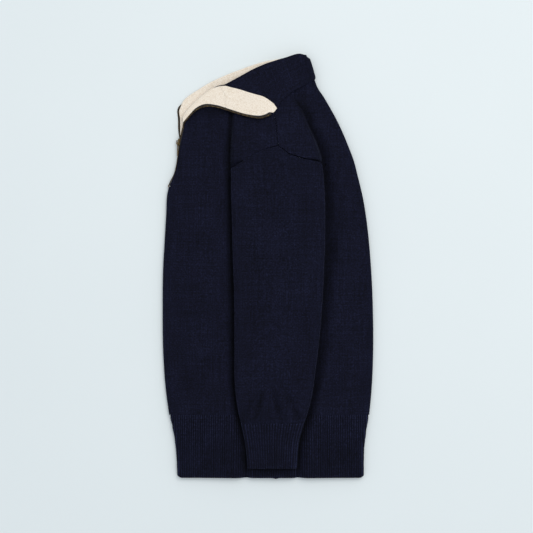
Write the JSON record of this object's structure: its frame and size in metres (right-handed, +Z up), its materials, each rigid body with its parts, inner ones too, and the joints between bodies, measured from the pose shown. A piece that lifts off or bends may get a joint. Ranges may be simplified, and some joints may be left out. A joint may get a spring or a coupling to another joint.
{
  "type": "submariner quarter-zip sweater",
  "caption": "Knitted quarter-zip sweater laid flat on its side, with turned-down collar, cream facing, ribbed hem and cuffs.",
  "frame": {"origin": "on the ground below the middle of the whole piece's bounding box", "axes": "+Z up from the surface it lies on, +Y from hem to collar, +X from the wearer's front fold to the back fold"},
  "size_m": [0.3716, 0.7404, 0.0213],
  "materials": {
    "navy_wool_knit": "matt wool knit",
    "cream_cotton_facing": "matt fine knit",
    "black_zip_tape": "woven tape",
    "antique_brass": "worn antique brass"
  },
  "bodies": {
    "sweater": {"front": "navy_wool_knit", "back": "navy_wool_knit", "front_hem_rib": "navy_wool_knit", "back_hem_rib": "navy_wool_knit", "sleeve_left": "navy_wool_knit", "sleeve_right": "navy_wool_knit", "cuff_left": "navy_wool_knit", "cuff_right": "navy_wool_knit", "collar": "navy_wool_knit", "neck_lining": "cream_cotton_facing", "zip_facing": "cream_cotton_facing", "zip_tape_left": "black_zip_tape", "zip_tape_right": "black_zip_tape", "zip_slider": "antique_brass", "zip_stop": "antique_brass"},
    "pull": {"zip_pull": "antique_brass"}
  },
  "joints": [
    {"name": "pull_hinge", "type": "hinge", "parent": "sweater", "child": "pull", "pos_m": [-0.15848, 0.21794, 0.00425], "axis": [0, 0, -1], "range_deg": [0, 170]}
  ]
}
